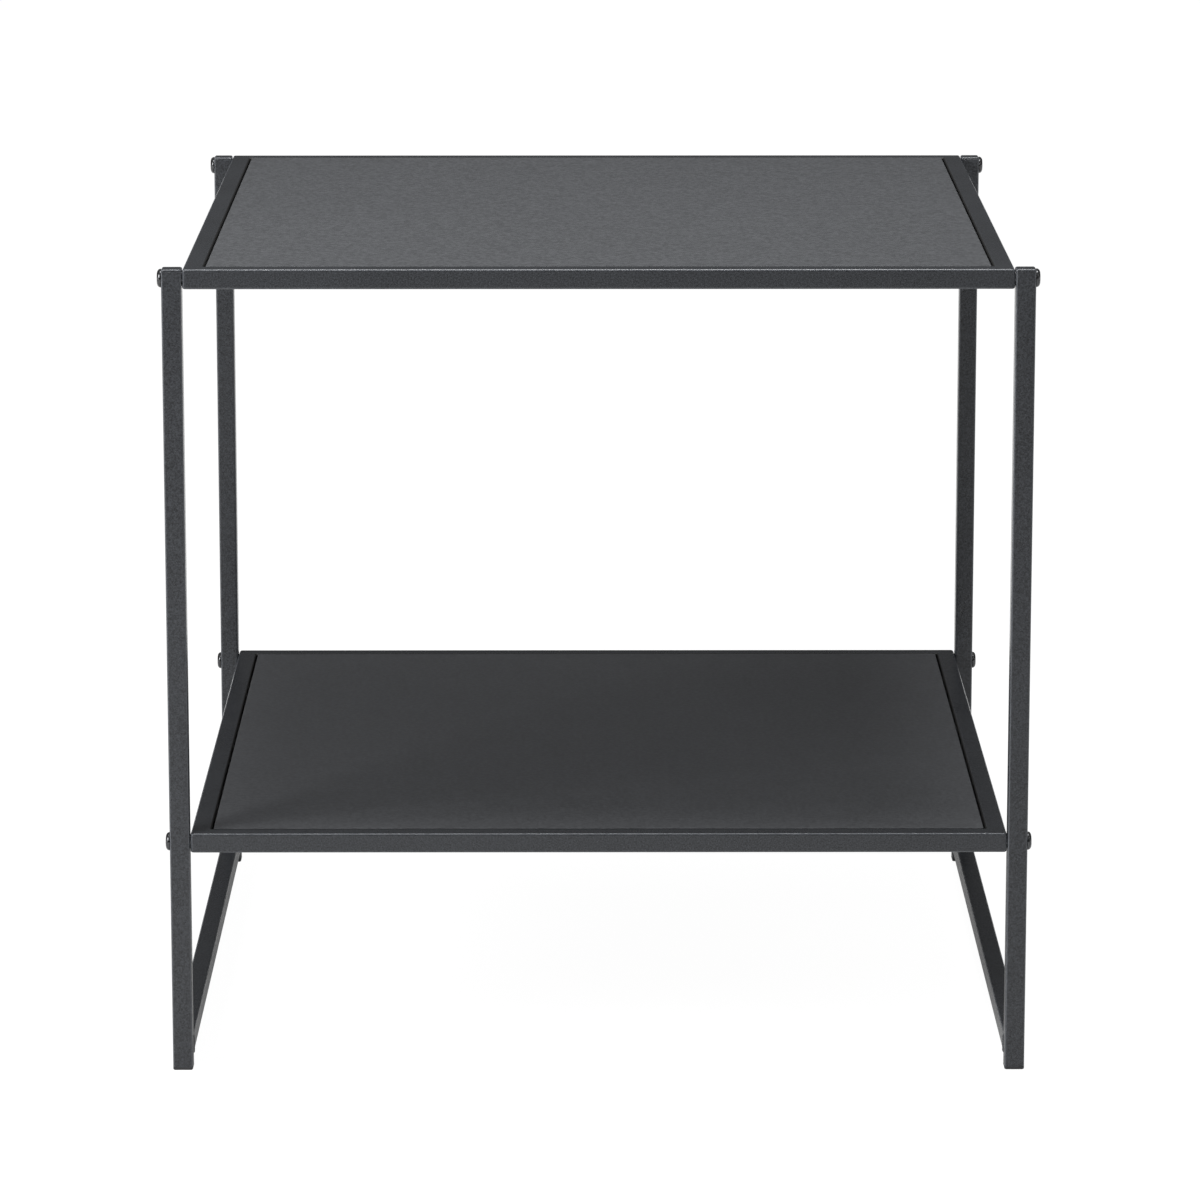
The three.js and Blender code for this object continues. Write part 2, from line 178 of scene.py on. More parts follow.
class Shader:
    """A new material with its Principled shader, and short ways to add nodes to it."""

    def __init__(self, name):
        self.material = bpy.data.materials.new(name)
        self.material.use_nodes = True
        self.tree = self.material.node_tree
        self.surface = next(n for n in self.tree.nodes if n.type == "BSDF_PRINCIPLED")
        self.place = self.node("ShaderNodeTexCoord").outputs["Object"]

    def node(self, kind, **settings):
        made = self.tree.nodes.new(kind)
        for key, value in settings.items():
            setattr(made, key, value)
        return made

    def feed(self, socket, value):
        """Links value to socket if it is a node's output, or else sets it as a number or colour."""
        if isinstance(value, bpy.types.NodeSocket):
            self.tree.links.new(value, socket)
        else:
            socket.default_value = value

    def math(self, operation, a, b=0.0, clamp=False):
        made = self.node("ShaderNodeMath", operation=operation, use_clamp=clamp)
        self.feed(made.inputs[0], a)
        self.feed(made.inputs[1], b)
        return made.outputs[0]

    def mixture(self, *layers):
        """The sum of (value, weight) layers."""
        total = None
        for value, weight in layers:
            share = self.math("MULTIPLY", value, weight)
            total = share if total is None else self.math("ADD", total, share)
        return total

    def noise(self, size_mm, detail=3.0, roughness=0.55, stretch=(1, 1, 1)):
        """Noise from 0 to 1 in blots about size_mm across, drawn out along the axes by stretch."""
        mapping = self.node("ShaderNodeMapping")
        self.feed(mapping.inputs["Vector"], self.place)
        mapping.inputs["Scale"].default_value = [1 / s for s in stretch]
        made = self.node("ShaderNodeTexNoise")
        self.feed(made.inputs["Vector"], mapping.outputs["Vector"])
        made.inputs["Scale"].default_value = 1 / (size_mm * MM)
        made.inputs["Detail"].default_value = detail
        made.inputs["Roughness"].default_value = roughness
        return made.outputs["Fac"]

    def spread(self, value, low, high, from_low=0.3, from_high=0.7):
        """Maps from_low..from_high onto low..high."""
        made = self.node("ShaderNodeMapRange")
        self.feed(made.inputs["Value"], value)
        for name, number in (
            ("From Min", from_low),
            ("From Max", from_high),
            ("To Min", low),
            ("To Max", high),
        ):
            made.inputs[name].default_value = number
        return made.outputs["Result"]

    def blend(self, factor, a, b, kind="MIX"):
        made = self.node("ShaderNodeMix", data_type="RGBA", blend_type=kind)
        self.feed(made.inputs["Factor"], factor)
        self.feed(made.inputs["A"], a)
        self.feed(made.inputs["B"], b)
        return made.outputs["Result"]

    def edges(self):
        """1 on rounded edges and corners, 0 on faces that look straight along an axis."""
        normal = self.node("ShaderNodeNewGeometry").outputs["Normal"]
        parts = self.node("ShaderNodeSeparateXYZ")
        self.feed(parts.inputs[0], normal)
        sizes = [self.math("ABSOLUTE", parts.outputs[i]) for i in range(3)]
        largest = self.math("MAXIMUM", self.math("MAXIMUM", sizes[0], sizes[1]), sizes[2])
        return self.spread(largest, 1.0, 0.0, 0.75, 0.985)

    def bumps(self, *layers, strength=1.0):
        """Bump from (height, depth in millimetres) layers, each on top of the one before."""
        normal = None
        for height, depth in layers:
            made = self.node("ShaderNodeBump")
            made.inputs["Distance"].default_value = depth * MM
            self.feed(made.inputs["Strength"], strength)
            self.feed(made.inputs["Height"], height)
            if normal is not None:
                self.feed(made.inputs["Normal"], normal)
            normal = made.outputs["Normal"]
        self.feed(self.surface.inputs["Normal"], normal)

    def finish(self, **values):
        for name, value in values.items():
            self.feed(self.surface.inputs[name.replace("_", " ")], value)
        return self.material


def grey(value, blueness=0.0):
    """A nearly neutral colour whose blue is stronger than its red by the share in blueness."""
    return (value, value * (1 + 0.35 * blueness), value * (1 + blueness), 1.0)


def powder_coat(name, darkest, lightest, edge, roughness):
    """A satin, finely pebbled powder coat that is thinner and shinier along the edges, where its
    colour turns towards the edge colour: partly wear, partly a painted highlight.
    """
    s = Shader(name)
    pebble = s.spread(s.noise(1.0, detail=2.0, roughness=0.6), 0, 1)
    dust = s.noise(0.4, detail=2.0, roughness=0.7)
    cloud = s.noise(60, detail=4.0)
    edges = s.edges()
    worn_and_highlit = s.math("MULTIPLY", edges, s.spread(s.noise(7, detail=4.0), 0.55, 1.0))
    tone = s.mixture((pebble, 0.8), (cloud, 0.2))
    coat = s.blend(tone, darkest, lightest)
    # Lighter along the edges: partly thinner, worn coat, partly a painted highlight.
    coat = s.blend(s.math("MULTIPLY", worn_and_highlit, 0.6), coat, edge)
    grain_rough = s.spread(dust, roughness - 0.05, roughness + 0.07)
    rough = s.math("ADD", grain_rough, s.spread(cloud, -0.03, 0.03))
    rough = s.math("SUBTRACT", rough, s.math("MULTIPLY", worn_and_highlit, 0.05))
    s.bumps((pebble, 0.05), (dust, 0.02), strength=s.spread(edges, 1.0, 0.2, 0, 1))
    return s.finish(Base_Color=coat, Roughness=rough, IOR=1.5)


def laminate(name, darkest, lightest, edge, roughness, ior):
    """A board's smooth satin laminate, with a faint mottle and a fine print."""
    s = Shader(name)
    mottle = s.noise(14, detail=5.0, roughness=0.7)
    drift = s.noise(190, detail=2.0)
    print_grain = s.spread(s.noise(2.8, detail=2.0, roughness=0.6), 0, 1, 0.38, 0.62)
    tone = s.mixture((s.spread(mottle, 0, 1), 0.25), (drift, 0.15), (print_grain, 0.6))
    colour = s.blend(s.math("MULTIPLY", s.edges(), 0.5), s.blend(tone, darkest, lightest), edge)
    mottle_rough = s.spread(mottle, roughness - 0.02, roughness + 0.02)
    rough = s.math("ADD", mottle_rough, s.spread(print_grain, -0.03, 0.03, 0, 1))
    s.bumps((print_grain, 0.010))
    return s.finish(Base_Color=colour, Roughness=rough, IOR=ior)


def fibreboard_backing(name):
    """The plain dark balancing paper under a board, with the board's fibres showing through."""
    s = Shader(name)
    fibre = s.noise(1.6, detail=4.0, roughness=0.65, stretch=(2.2, 1, 1))
    cloud = s.noise(55, detail=3.0)
    colour = s.blend(s.spread(fibre, 0, 1), grey(0.020, 0.02), grey(0.036, 0.02))
    colour = s.blend(s.math("MULTIPLY", cloud, 0.4), colour, grey(0.028, 0.02))
    s.bumps((fibre, 0.03))
    return s.finish(Base_Color=colour, Roughness=s.spread(fibre, 0.62, 0.76), IOR=1.45)


def moulded_plastic(name):
    """The feet's black plastic, with a fine spark-eroded grain that is rubbed at the edges."""
    s = Shader(name)
    grain = s.noise(0.4, detail=2.0, roughness=0.7)
    cloud = s.noise(9, detail=3.0)
    rubbed = s.math("MULTIPLY", s.edges(), s.spread(cloud, 0.3, 1.0))
    colour = s.blend(s.spread(grain, 0, 1), grey(0.022, 0.1), grey(0.036, 0.1))
    colour = s.blend(s.math("MULTIPLY", rubbed, 0.5), colour, grey(0.055, 0.1))
    rough = s.math("SUBTRACT", s.spread(grain, 0.48, 0.62), s.math("MULTIPLY", rubbed, 0.08))
    s.bumps((grain, 0.02))
    return s.finish(Base_Color=colour, Roughness=rough, IOR=1.49)


def plated_metal(name, darkest, lightest, roughness, scuff):
    """Bright or blackened zinc plate, with fine turning marks and small scuffs."""
    s = Shader(name)
    marks = s.noise(0.5, detail=3.0, roughness=0.6)
    scuffs = s.noise(2.2, detail=5.0, roughness=0.75)
    tone = s.spread(scuffs, 0, 1)
    colour = s.blend(tone, darkest, lightest)
    marks_rough = s.spread(marks, roughness - 0.05, roughness + 0.08)
    rough = s.math("ADD", marks_rough, s.spread(scuffs, -scuff, scuff))
    s.bumps((marks, 0.003), (scuffs, 0.002))
    return s.finish(Base_Color=colour, Metallic=s.spread(scuffs, 0.9, 1.0), Roughness=rough)


# The coat's edge colour, three times lighter than its faces, is partly worn coat and partly a painted
# highlight on the rounded edges.
COAT = powder_coat(
    "charcoal_powder_coat", grey(0.006, 0.22), grey(0.056, 0.22), grey(0.170, 0.18), 0.27
)
# Near-black coat on the rails' faces beside the board: painted shade in the gap between board and
# rail.
GAP_PAINTED_SHADE_COAT = powder_coat("gap_painted_shade_coat", grey(0.003), grey(0.012), grey(0.012), 0.55)
WELD = powder_coat("coated_weld", grey(0.018, 0.22), grey(0.052, 0.22), grey(0.062, 0.18), 0.28)
LAMINATE = laminate(
    "charcoal_laminate", grey(0.056, 0.10), grey(0.100, 0.10), grey(0.078, 0.10), 0.60, 1.3
)
# The board's edges and eased arrises, near black: partly a dark edge band, partly painted shade for
# the gap line beside the rails.
EDGE_BAND_AND_GAP_SHADE = laminate("edge_band_and_painted_shade", grey(0.005), grey(0.008), grey(0.008), 0.85, 1.12)
BACKING = fibreboard_backing("board_backing")
PLASTIC = moulded_plastic("black_plastic")
BLACK_ZINC = plated_metal("black_zinc", grey(0.07, 0.05), grey(0.11, 0.05), 0.17, 0.03)
ZINC = plated_metal("bright_zinc", grey(0.48, 0.02), grey(0.62, 0.02), 0.30, 0.06)


# ---- Mesh helpers ------------------------------------------------------------------------------


def rounded_rectangle(half_x, half_y, radius, steps=CORNER_STEPS):
    """Points of a rounded rectangle round (0, 0), anticlockwise from +X, as many for any size."""
    radius = max(radius, SMALLEST_RADIUS)
    points = []
    for quarter, (sx, sy) in enumerate(((1, 1), (-1, 1), (-1, -1), (1, -1))):
        for i in range(steps + 1):
            angle = math.radians(90) * (quarter + i / steps)
            points.append(
                (
                    sx * (half_x - radius) + radius * math.cos(angle),
                    sy * (half_y - radius) + radius * math.sin(angle),
                )
            )
    return points


def circle(radius, sides):
    return [
        (radius * math.cos(2 * math.pi * i / sides), radius * math.sin(2 * math.pi * i / sides))
        for i in range(sides)
    ]


def skin(rings, closed=False):
    """Vertices and faces of a skin over rings of equal length. If closed, the last ring joins the
    first; otherwise both end rings get a flat face."""
    count = len(rings[0])
    verts = [point for ring in rings for point in ring]
    faces = []
    for r in range(len(rings) if closed else len(rings) - 1):
        a, b = r * count, (r + 1) % len(rings) * count
        for i in range(count):
            j = (i + 1) % count
            faces.append((a + i, a + j, b + j, b + i))
    if not closed:
        faces.append(tuple(range(count))[::-1])
        last = (len(rings) - 1) * count
        faces.append(tuple(range(last, last + count)))
    return verts, faces


def joined(*parts):
    """Several (vertices, faces) pairs as one."""
    verts, faces = [], []
    for part_verts, part_faces in parts:
        start = len(verts)
        verts += part_verts
        faces += [tuple(i + start for i in face) for face in part_faces]
    return verts, faces


def moved(part, matrix):
    verts, faces = part
    return [matrix @ Vector(v) for v in verts], faces


def turn_z(degrees):
    return Matrix.Rotation(math.radians(degrees), 4, "Z")


ALONG_X = Matrix.Rotation(math.radians(90), 4, "Y")  # +Z becomes +X
ALONG_MINUS_X = Matrix.Rotation(math.radians(-90), 4, "Y")  # +Z becomes -X
ALONG_Y = Matrix.Rotation(math.radians(-90), 4, "X")  # +Z becomes +Y


def make_object(name, part):
    verts, faces = part
    mesh = bpy.data.meshes.new(name)
    mesh.from_pydata([tuple(Vector(v) * MM) for v in verts], [], faces)
    tidy = bmesh.new()
    tidy.from_mesh(mesh)
    bmesh.ops.recalc_face_normals(tidy, faces=tidy.faces)
    tidy.to_mesh(mesh)
    tidy.free()
    made = bpy.data.objects.new(name, mesh)
    bpy.context.scene.collection.objects.link(made)
    return made


def cut(piece, *tools):
    """Takes each tool, a (vertices, faces) solid, out of the piece."""
    cutters = [make_object("cutter", tool) for tool in tools]
    for cutter in cutters:
        step = piece.modifiers.new("cut", "BOOLEAN")
        step.operation = "DIFFERENCE"
        step.solver = "EXACT"
        step.object = cutter
    graph = bpy.context.evaluated_depsgraph_get()
    result = bpy.data.meshes.new_from_object(piece.evaluated_get(graph), depsgraph=graph)
    piece.modifiers.clear()
    old, piece.data = piece.data, result
    result.name = piece.name
    bpy.data.meshes.remove(old)
    for cutter in cutters:
        old = cutter.data
        bpy.data.objects.remove(cutter)
        bpy.data.meshes.remove(old)


def dress(piece, materials, nodes=(), material_of=None):
    """Shades a piece, gives it its materials, and puts it on the table's one body.

    material_of picks a face's material by number from the face's outward normal."""
    mesh = piece.data
    mesh.materials.clear()
    for material in materials:
        mesh.materials.append(material)
    for face in mesh.polygons:
        face.use_smooth = True
        face.material_index = material_of(face.normal) if material_of else 0
    mesh.set_sharp_from_angle(angle=SMOOTH_ANGLE)
    weighted = piece.modifiers.new("even shading", "WEIGHTED_NORMAL")
    weighted.keep_sharp = True
    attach(piece, "root")
    if nodes:
        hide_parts(*nodes)
    return piece


# ---- Tube --------------------------------------------------------------------------------------


def square_ring(half, radius, z):
    return [(x, y, z) for x, y in rounded_rectangle(half, half, radius)]


def tube_part(half, length):
    """A length of square tube from z = 0, with eased ends and a hollow inside."""
    ease, inner_half = TUBE_END_EASE, half - TUBE_WALL
    outline = [
        square_ring(half - inset, TUBE_EDGE_RADIUS - inset, z)
        for inset, z in ((ease, 0), (0, ease), (0, length - ease), (ease, length))
    ]
    hollow = [square_ring(inner_half, TUBE_INNER_RADIUS, z) for z in (length, 0)]
    return skin(outline + hollow, closed=True)


def drill_along_x(radius, x_from, x_to, y, z):
    rings = [[(x, y + a, z + b) for a, b in circle(radius, BOLT_SIDES)] for x in (x_from, x_to)]
    return skin(rings)


def bolt_heights():
    return [middle_mm(f"{level}_bolt_left_front").z for level in LEVELS]


def build_legs():
    for corner in CORNERS:
        side, end = corner.split("_")
        low, high = box_mm(f"{side}_{end}_leg")
        centre, half = (low + high) / 2, (high.x - low.x) / 2
        stand = Matrix.Translation((centre.x, centre.y, low.z))
        leg = make_object(f"{side}_{end}_leg_tube", moved(tube_part(half, high.z - low.z), stand))
        reach = half + OVERSHOOT
        holes = [
            drill_along_x(BOLT_HOLE_RADIUS, centre.x - reach, centre.x + reach, centre.y, z)
            for z in bolt_heights()
        ]
        cut(leg, *holes)
        dress(leg, [COAT], [f"{side}_{end}_leg"])

        low, high = box_mm(f"{side}_{end}_leg_cap")
        lift = Matrix.Translation((centre.x, centre.y, low.z))
        plate = moved(top_plate_part(half, high.z - low.z), lift)
        top = make_object(f"{side}_{end}_leg_top_plate", plate)
        dress(top, [COAT], [f"{side}_{end}_leg_cap"])

        low, high = box_mm(f"{side}_{end}_foot")
        plug = moved(foot_part(half, high.z), Matrix.Translation((centre.x, centre.y, 0)))
        foot = make_object(f"{side}_{end}_foot_plug", plug)
        dress(foot, [PLASTIC], [f"{side}_{end}_foot"])


def top_plate_part(half, thickness):
    """The plate over a leg's open top, its upper edges and corners ground round."""
    rings = [square_ring(half, TUBE_EDGE_RADIUS, 0)]
    for i in range(ROUND_STEPS + 1):
        angle = math.radians(90) * i / ROUND_STEPS
        inset = LEG_TOP_ROUND * (1 - math.cos(angle))
        z = thickness - LEG_TOP_ROUND * (1 - math.sin(angle))
        rings.append(square_ring(half - inset, TUBE_EDGE_RADIUS - inset, z))
    return skin(rings)


def foot_part(half, height):
    """A foot: a round-edged pad on the floor and a hollow ribbed plug that grips inside the leg."""
    pad = box_mm("left_front_leg")[0].z
    rib_half = half - TUBE_WALL - PLUG_CLEARANCE
    plug_half = rib_half - PLUG_RIB
    hollow_half = plug_half - PLUG_WALL
    steps = []  # (half width, corner radius, z) from the floor up, then down inside the plug
    for i in range(ROUND_STEPS + 1):
        angle = math.radians(90) * i / ROUND_STEPS
        inset = FOOT_ROUND * (1 - math.sin(angle))
        steps.append((half - inset, TUBE_EDGE_RADIUS - inset, FOOT_ROUND * (1 - math.cos(angle))))
    ease, radius, inner_radius = FOOT_UPPER_EASE, PLUG_EDGE_RADIUS, PLUG_INNER_RADIUS
    steps += [(half, TUBE_EDGE_RADIUS, pad - ease), (half - ease, TUBE_EDGE_RADIUS - ease, pad)]
    steps.append((plug_half, radius, pad))
    for bottom in PLUG_RIB_BOTTOMS:
        z = pad + bottom
        steps += [
            (plug_half, radius, z),
            (rib_half, radius, z + PLUG_RIB_FLAT[0]),
            (rib_half, radius, z + PLUG_RIB_FLAT[1]),
            (plug_half, radius, z + PLUG_RIB_HEIGHT),
        ]
    steps.append((plug_half, radius, height - PLUG_LEAD_IN))
    steps.append((plug_half - radius, inner_radius, height))
    steps += [(hollow_half, inner_radius, height), (hollow_half, inner_radius, pad)]
    return skin([square_ring(w, r, z) for w, r, z in steps])


def bead_part(path, closed):
    """A rippled weld bead along (point, direction) steps; the ripples follow the distance run."""
    rings, run = [], 0.0
    for i, (point, direction) in enumerate(path):
        if i:
            run += (point - path[i - 1][0]).length
        ripple = abs(math.sin(math.pi * run / BEAD_PITCH))
        radius = BEAD_RADIUS * (1 - BEAD_RIPPLE + BEAD_RIPPLE * ripple)
        if not closed:
            from_end = min(i, len(path) - 1 - i) / BEAD_END_STEPS
            swell = math.sin(math.radians(90) * min(1.0, from_end))
            radius *= BEAD_END_SHARE + (1 - BEAD_END_SHARE) * swell
        across = direction.cross(Vector((0, 0, 1)))
        if across.length < 0.1:
            across = direction.cross(Vector((1, 0, 0)))
        across.normalize()
        up = across.cross(direction).normalized()
        rings.append([point + across * a + up * b for a, b in circle(radius, BEAD_SIDES)])
    return skin(rings, closed)


def straight_bead(start, end):
    steps = max(2 * BEAD_END_STEPS, int((end - start).length / (BEAD_PITCH / BEAD_RINGS)))
    direction = (end - start).normalized()
    path = [(start.lerp(end, i / steps), direction) for i in range(steps + 1)]
    return bead_part(path, closed=False)


def build_low_bars():
    for side in ("left", "right"):
        low, high = box_mm(f"{side}_low_bar")
        centre, half = (low + high) / 2, (high.x - low.x) / 2
        lay = Matrix.Translation((centre.x, low.y, centre.z)) @ ALONG_Y
        bar = make_object(f"{side}_low_bar_tube", moved(tube_part(half, high.y - low.y), lay))
        dress(bar, [COAT], [f"{side}_low_bar"])
        for end, y in (("front", low.y), ("rear", high.y)):
            weld = make_object(f"{side}_low_bar_{end}_weld", loop_bead(centre.x, y, centre.z, half))
            dress(weld, [WELD])


def loop_bead(x, y, z, half):
    """The bead all round the end of a low bar, in the corner between the bar and its leg."""
    reach = half - BEAD_SINK
    outline = [
        Vector((x + a, y, z + b)) for a, b in rounded_rectangle(reach, reach, TUBE_EDGE_RADIUS)
    ]
    fine = []
    for i, start in enumerate(outline):
        end = outline[(i + 1) % len(outline)]
        pieces = max(1, round((end - start).length / (BEAD_PITCH / BEAD_RINGS)))
        fine += [start.lerp(end, k / pieces) for k in range(pieces)]
    axis, rings, run = Vector((0, 1, 0)), [], 0.0
    for i, point in enumerate(fine):
        ahead = (fine[(i + 1) % len(fine)] - fine[i - 1]).normalized()
        out = ahead.cross(axis).normalized()
        run += (point - fine[i - 1]).length if i else 0.0
        ripple = abs(math.sin(math.pi * run / BEAD_PITCH))
        radius = BEAD_RADIUS * (1 - BEAD_RIPPLE + BEAD_RIPPLE * ripple)
        rings.append([point + out * a + axis * b for a, b in circle(radius, BEAD_SIDES)])
    return skin(rings, closed=True)


# ---- Shelf frames ------------------------------------------------------------------------------


def rail_part(length, size):
    """A mitred rail along X: outer face at y = 0, inner face at y = size, top at z = 0.

    Each end turns the first 45 degrees of the frame's rounded corner and stops at the mitre."""
    half, radius = size / 2, SHELF_CORNER_RADIUS

    def end_place(depth, step):
        """How far along and how deep a section point stands on one step of the rounded end."""
        share = step / MITRE_STEPS
        if depth >= radius:
            return depth + radius * share, depth
        angle = math.radians(45) * (1 - share)
        reach = radius - depth
        return radius - reach * math.sin(angle), radius - reach * math.cos(angle)

    def rings_of(section):
        rings = []
        for step in range(MITRE_STEPS + 1):
            ring = []
            for depth, z in section:
                along, deep = end_place(depth, step)
                ring.append((along - length / 2, deep, z))
            rings.append(ring)
        mirrored = [[(-x, y, z) for x, y, z in ring] for ring in reversed(rings)]
        return rings + mirrored

    def section_of(reach, corner):
        return [(a + half, b - half) for a, b in rounded_rectangle(reach, reach, corner)]

    outer = section_of(half, TUBE_EDGE_RADIUS)
    inner = section_of(half - TUBE_WALL, TUBE_INNER_RADIUS)
    return skin(rings_of(outer) + rings_of(inner)[::-1], closed=True)


def build_shelf_frame(level):
    left_low, left_high = box_mm(f"{level}_left_rail")
    right_high = box_mm(f"{level}_right_rail")[1]
    width, depth = right_high.x - left_low.x, left_high.y - left_low.y
    size = left_high.z - left_low.z
    top = left_high.z
    long_rail, deep_rail = rail_part(width, size), rail_part(depth, size)
    sides = {
        "front": (long_rail, Matrix.Translation((0, -depth / 2, top))),
        "rear": (long_rail, Matrix.Translation((0, depth / 2, top)) @ turn_z(180)),
        "left": (deep_rail, Matrix.Translation((-width / 2, 0, top)) @ turn_z(-90)),
        "right": (deep_rail, Matrix.Translation((width / 2, 0, top)) @ turn_z(90)),
    }
    for side, (part, place) in sides.items():
        rail = make_object(f"{level}_{side}_rail_tube", moved(part, place))
        inward = place.to_3x3() @ Vector((0, 1, 0))

        def material_of(normal, inward=inward):
            """The face beside the board takes the near-black coat, painted shade that makes the gap
            stand out.
            """
            takes_painted_shade = normal.dot(inward) > PAINTED_SHADE_FACE_INWARD and normal.z > PAINTED_SHADE_FACE_LOWEST
            return 1 if takes_painted_shade else 0

        if side in ("left", "right"):
            face = -width / 2 if side == "left" else width / 2
            holes = []
            for end in ("front", "rear"):
                nut = middle_mm(f"{level}_rivet_nut_{side}_{end}")
                start, stop = face - size / 2, face + size / 2
                holes.append(drill_along_x(NUT_HOLE_RADIUS, start, stop, nut.y, nut.z))
            cut(rail, *holes)
        dress(rail, [COAT, GAP_PAINTED_SHADE_COAT], [f"{level}_{side}_rail"], material_of)


def plate_part(outline_at, thickness, arris):
    """A flat plate from z = 0 up, with eased edges. outline_at(inset) gives its inset outline."""
    bend = arris * ARRIS_BEND
    steps = ((arris, 0), (bend, bend), (0, arris), (0, thickness - arris))
    steps += ((bend, thickness - bend), (arris, thickness))
    return skin([[(x, y, z) for x, y in outline_at(inset)] for inset, z in steps])


def rounded_polygon(corners, radius, steps):
    """An anticlockwise convex polygon with its corners rounded."""
    points = []
    for i, corner in enumerate(corners):
        here = Vector(corner)
        back = (Vector(corners[i - 1]) - here).normalized()
        ahead = (Vector(corners[(i + 1) % len(corners)]) - here).normalized()
        half_angle = math.acos(max(-1.0, min(1.0, back.dot(ahead)))) / 2
        run = radius / math.tan(half_angle)
        middle = here + (back + ahead).normalized() * (radius / math.sin(half_angle))
        start, end = here + back * run - middle, here + ahead * run - middle
        first = math.atan2(start.y, start.x)
        sweep = (math.atan2(end.y, end.x) - first) % (2 * math.pi)
        for k in range(steps + 1):
            angle = first + sweep * k / steps
            x, y = middle.x + radius * math.cos(angle), middle.y + radius * math.sin(angle)
            points.append((x, y))
    return points


def tab_outline(inset, leg, tip):
    """A blunted triangle whose square corner is at (0, 0), moved in by inset on every side."""
    slope = inset * math.sqrt(2)
    cut_back = leg + tip - slope  # x + y along the long edge
    far = leg - inset
    near = cut_back - far
    corners = [(inset, inset), (far, inset), (far, near), (near, far), (inset, far)]
    return rounded_polygon(corners, TAB_CORNER_RADIUS - inset, ROUND_STEPS)


def hole_part(radius, x, y, z_from, z_to):
    outline = [(x + a, y + b) for a, b in circle(radius, SCREW_SIDES)]
    return skin([[(a, b, z) for a, b in outline] for z in (z_from, z_to)])


def build_tabs_and_screws(level):
    for corner, (sx, sy) in CORNERS.items():
        low, high = box_mm(f"{level}_tab_{corner}")
        screw_low, screw_high = box_mm(f"{level}_board_screw_{corner}")
        x, y, _ = (screw_low + screw_high) / 2
        leg, thickness = high.x - low.x, high.z - low.z
        origin = Vector((low.x if sx < 0 else high.x, low.y if sy < 0 else high.y, low.z))
        turn = {(-1, -1): 0, (1, -1): 90, (1, 1): 180, (-1, 1): -90}[sx, sy]
        plate = plate_part(lambda inset: tab_outline(inset, leg, TAB_TIP), thickness, TAB_ARRIS)
        plate = moved(plate, Matrix.Translation(origin) @ turn_z(turn))
        tab = make_object(f"{level}_tab_{corner}_plate", plate)
        cut(tab, hole_part(TAB_HOLE_RADIUS, x, y, low.z - OVERSHOOT, high.z + OVERSHOOT))
        dress(tab, [COAT], [f"{level}_tab_{corner}"])

        # One bead along each rail, under the tab.
        sink, start, end = TAB_BEAD_SINK, TAB_BEAD_START, leg - TAB_BEAD_MARGIN
        beads = [
            straight_bead(
                origin + Vector((-sx * start, -sy * sink, -sink)),
                origin + Vector((-sx * end, -sy * sink, -sink)),
            ),
            straight_bead(
                origin + Vector((-sx * sink, -sy * start, -sink)),
                origin + Vector((-sx * sink, -sy * end, -sink)),
            ),
        ]
        dress(make_object(f"{level}_tab_{corner}_weld", joined(*beads)), [WELD])

        lift = Matrix.Translation((x, y, low.z)) @ turn_z(SCREW_TURN * (sx + 2 * sy))
        shape = moved(screw_part(screw_high.z - low.z), lift)
        screw = make_object(f"{level}_board_screw_{corner}_pan_head", shape)
        cut(screw, *[moved(tool, lift) for tool in screw_recess_parts()])
        dress(screw, [ZINC], [f"{level}_board_screw_{corner}"])


def build_board(level):
    low, high = box_mm(f"{level}_board")
    centre, half = (low + high) / 2, (high - low) / 2

    def outline(inset):
        return rounded_rectangle(half.x - inset, half.y - inset, BOARD_CORNER_RADIUS - inset)

    panel = plate_part(outline, high.z - low.z, BOARD_ARRIS)
    panel = moved(panel, Matrix.Translation((centre.x, centre.y, low.z)))
    board = make_object(f"{level}_board_panel", panel)
    pilots = []
    for corner in CORNERS:
        x, y, _ = middle_mm(f"{level}_board_screw_{corner}")
        pilots.append(hole_part(PILOT_RADIUS, x, y, low.z - OVERSHOOT, low.z + PILOT_DEPTH))
    cut(board, *pilots)

    # Faces that point up or down take the laminate and the backing; the edges take the near-black
    # band, partly painted shade in the gap.
    def material_of(normal):
        if normal.z > LEVEL_ENOUGH:
            return 0
        return 2 if normal.z < -LEVEL_ENOUGH else 1

    dress(board, [LAMINATE, EDGE_BAND_AND_GAP_SHADE, BACKING], [f"{level}_board"], material_of)


# ---- Fasteners ---------------------------------------------------------------------------------


def threaded_rings(length, radius, depth, pitch, point, sides):
    """Rings of points on a threaded shank, from its tip at z = -length up to z = 0."""
    rings = []
    count = int(length / pitch * THREAD_RINGS)
    for k in range(count + 1):
        z = -length + length * k / count
        from_tip, from_head = z + length, -z
        # The thread starts and stops gently, and the tip tapers.
        strength = min(1.0, from_tip / pitch, max(0.0, from_head - THREAD_NECK) / pitch)
        taper = point * max(0.0, 1 - from_tip / point)
        taper = min(taper, radius - depth) * POINT_SHARPNESS
        ring = []
        for i in range(sides):
            share = i / sides
            phase = (z / pitch - share) % 1.0
            groove = abs(2 * phase - 1)  # 0 at a crest's middle, 1 in the groove
            r = radius - depth * strength * groove - taper
            angle = 2 * math.pi * share
            ring.append((r * math.cos(angle), r * math.sin(angle), z))
        rings.append(ring)
    return rings


def flat_rings(profile, sides):
    """Rings of a turned shape on the Z axis from (radius, z) corners."""
    return [[(x, y, z) for x, y in circle(radius, sides)] for radius, z in profile]


